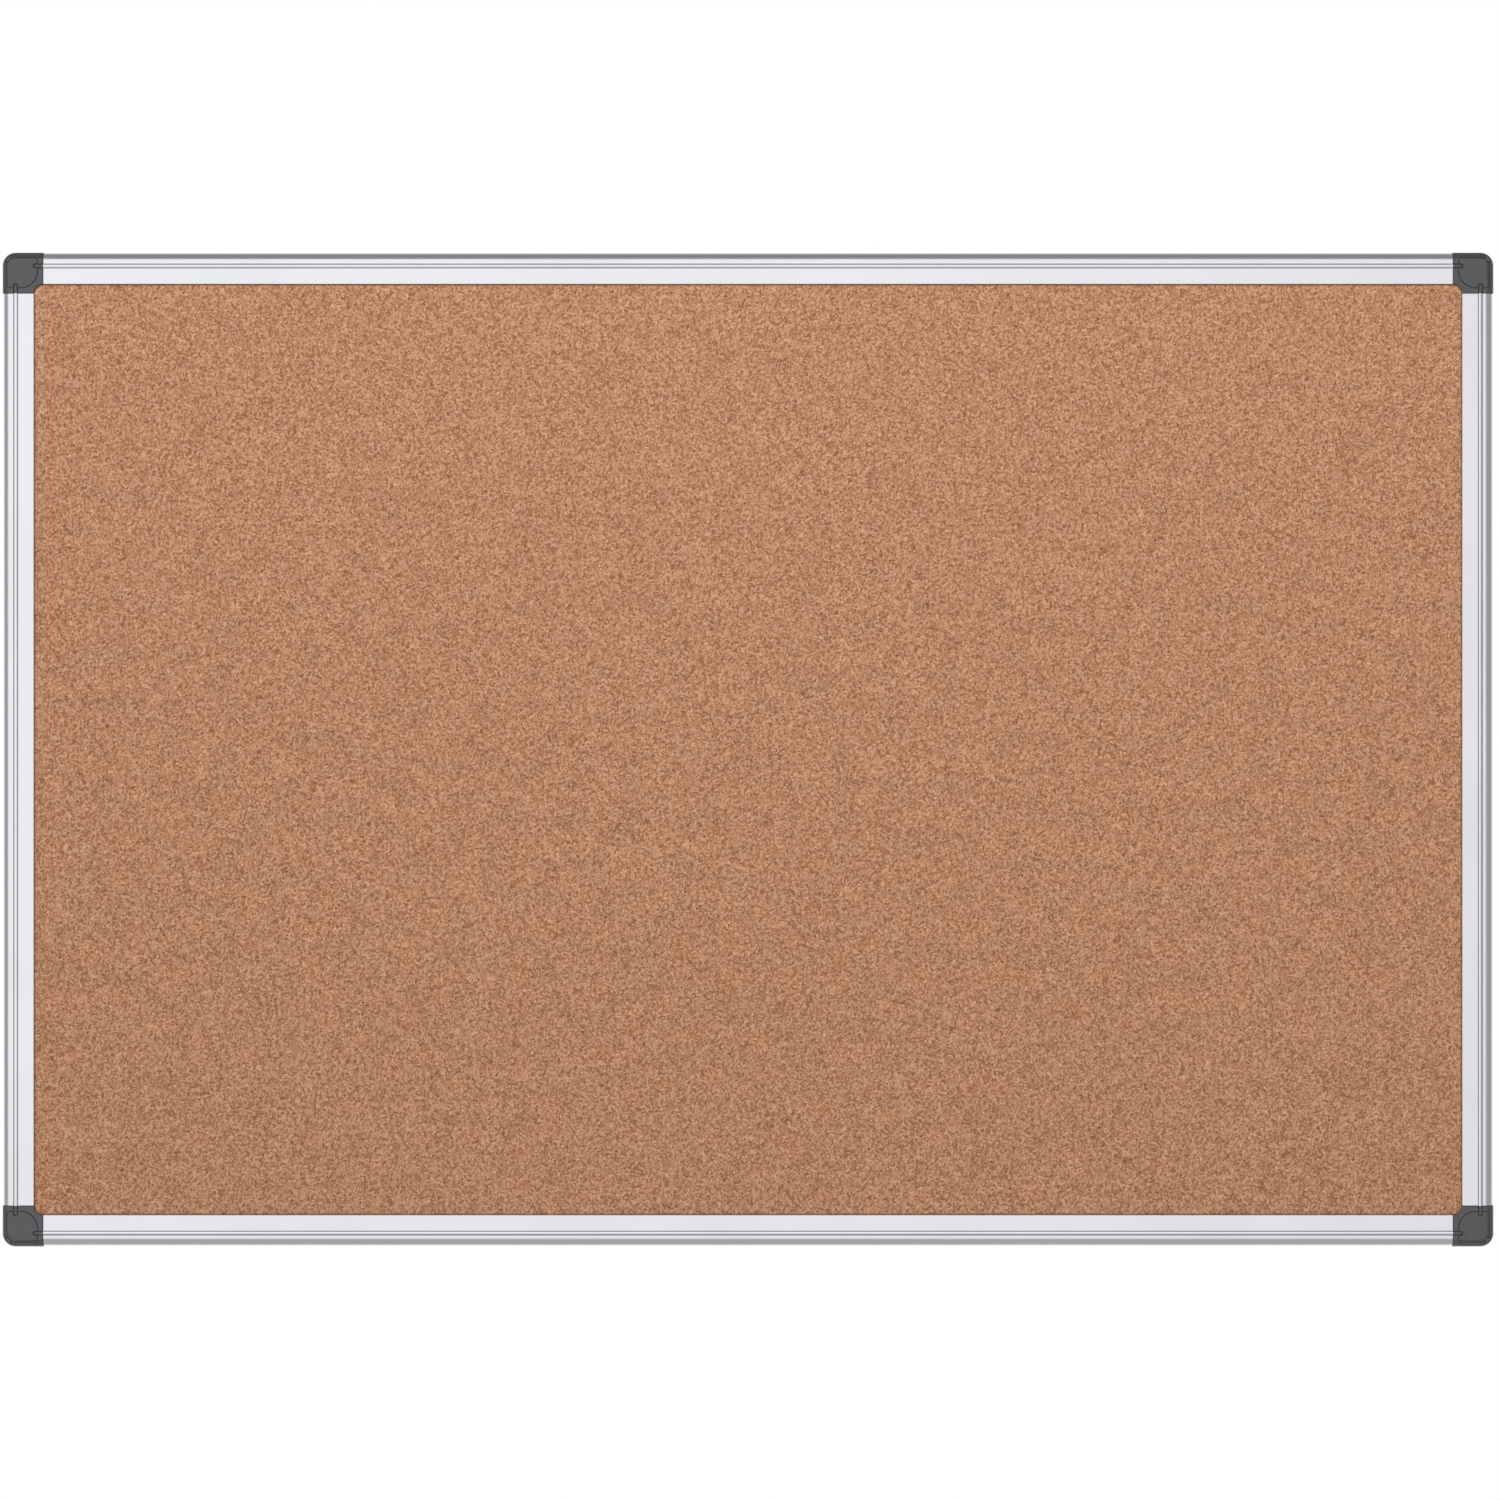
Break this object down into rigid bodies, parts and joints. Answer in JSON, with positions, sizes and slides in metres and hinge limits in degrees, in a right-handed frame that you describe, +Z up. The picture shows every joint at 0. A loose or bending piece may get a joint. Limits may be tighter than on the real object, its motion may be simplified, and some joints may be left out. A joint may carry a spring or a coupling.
{
  "type": "cork bulletin board",
  "caption": "Wall-mounted cork pinboard in a hollow aluminium rail frame, with moulded plastic corner pieces whose flip-up covers hide the wall screws.",
  "frame": {"origin": "centre of the four wall screw holes, in the plane of the wall that the board's back rests on", "axes": "+Z up, +X to the right of someone facing the board, +Y into the wall, so the front faces -Y"},
  "size_m": [0.9, 0.017, 0.6],
  "materials": {
    "cork": "matte",
    "softboard": "matte",
    "backing_paper": "matte",
    "anodised_aluminium": "satin",
    "corner_plastic": "satin",
    "pin_steel": "satin",
    "zinc_plated_screw": "satin"
  },
  "bodies": {
    "frame": {"cork_sheet": "cork", "softboard_core": "softboard", "backing_sheet": "backing_paper", "frame_rail_top": "anodised_aluminium", "frame_rail_bottom": "anodised_aluminium", "frame_rail_left": "anodised_aluminium", "frame_rail_right": "anodised_aluminium", "corner_top_left": "corner_plastic", "corner_top_right": "corner_plastic", "corner_bottom_left": "corner_plastic", "corner_bottom_right": "corner_plastic", "hinge_pin_top_left": "pin_steel", "hinge_pin_top_right": "pin_steel", "hinge_pin_bottom_left": "pin_steel", "hinge_pin_bottom_right": "pin_steel", "leg_screws": "zinc_plated_screw"},
    "cover_top_left": {"screw_cover_top_left": "corner_plastic"},
    "cover_top_right": {"screw_cover_top_right": "corner_plastic"},
    "cover_bottom_left": {"screw_cover_bottom_left": "corner_plastic"},
    "cover_bottom_right": {"screw_cover_bottom_right": "corner_plastic"}
  },
  "joints": [
    {"name": "cover_top_left_hinge", "type": "hinge", "parent": "frame", "child": "cover_top_left", "pos_m": [-0.4459, -0.01603, 0.2959], "axis": [-0.7071, 0, -0.7071], "range_deg": [0, 175]},
    {"name": "cover_top_right_hinge", "type": "hinge", "parent": "frame", "child": "cover_top_right", "pos_m": [0.4459, -0.01603, 0.2959], "axis": [-0.7071, 0, 0.7071], "range_deg": [0, 175]},
    {"name": "cover_bottom_left_hinge", "type": "hinge", "parent": "frame", "child": "cover_bottom_left", "pos_m": [-0.4459, -0.01603, -0.2959], "axis": [0.7071, 0, -0.7071], "range_deg": [0, 175]},
    {"name": "cover_bottom_right_hinge", "type": "hinge", "parent": "frame", "child": "cover_bottom_right", "pos_m": [0.4459, -0.01603, -0.2959], "axis": [0.7071, 0, 0.7071], "range_deg": [0, 175]}
  ]
}
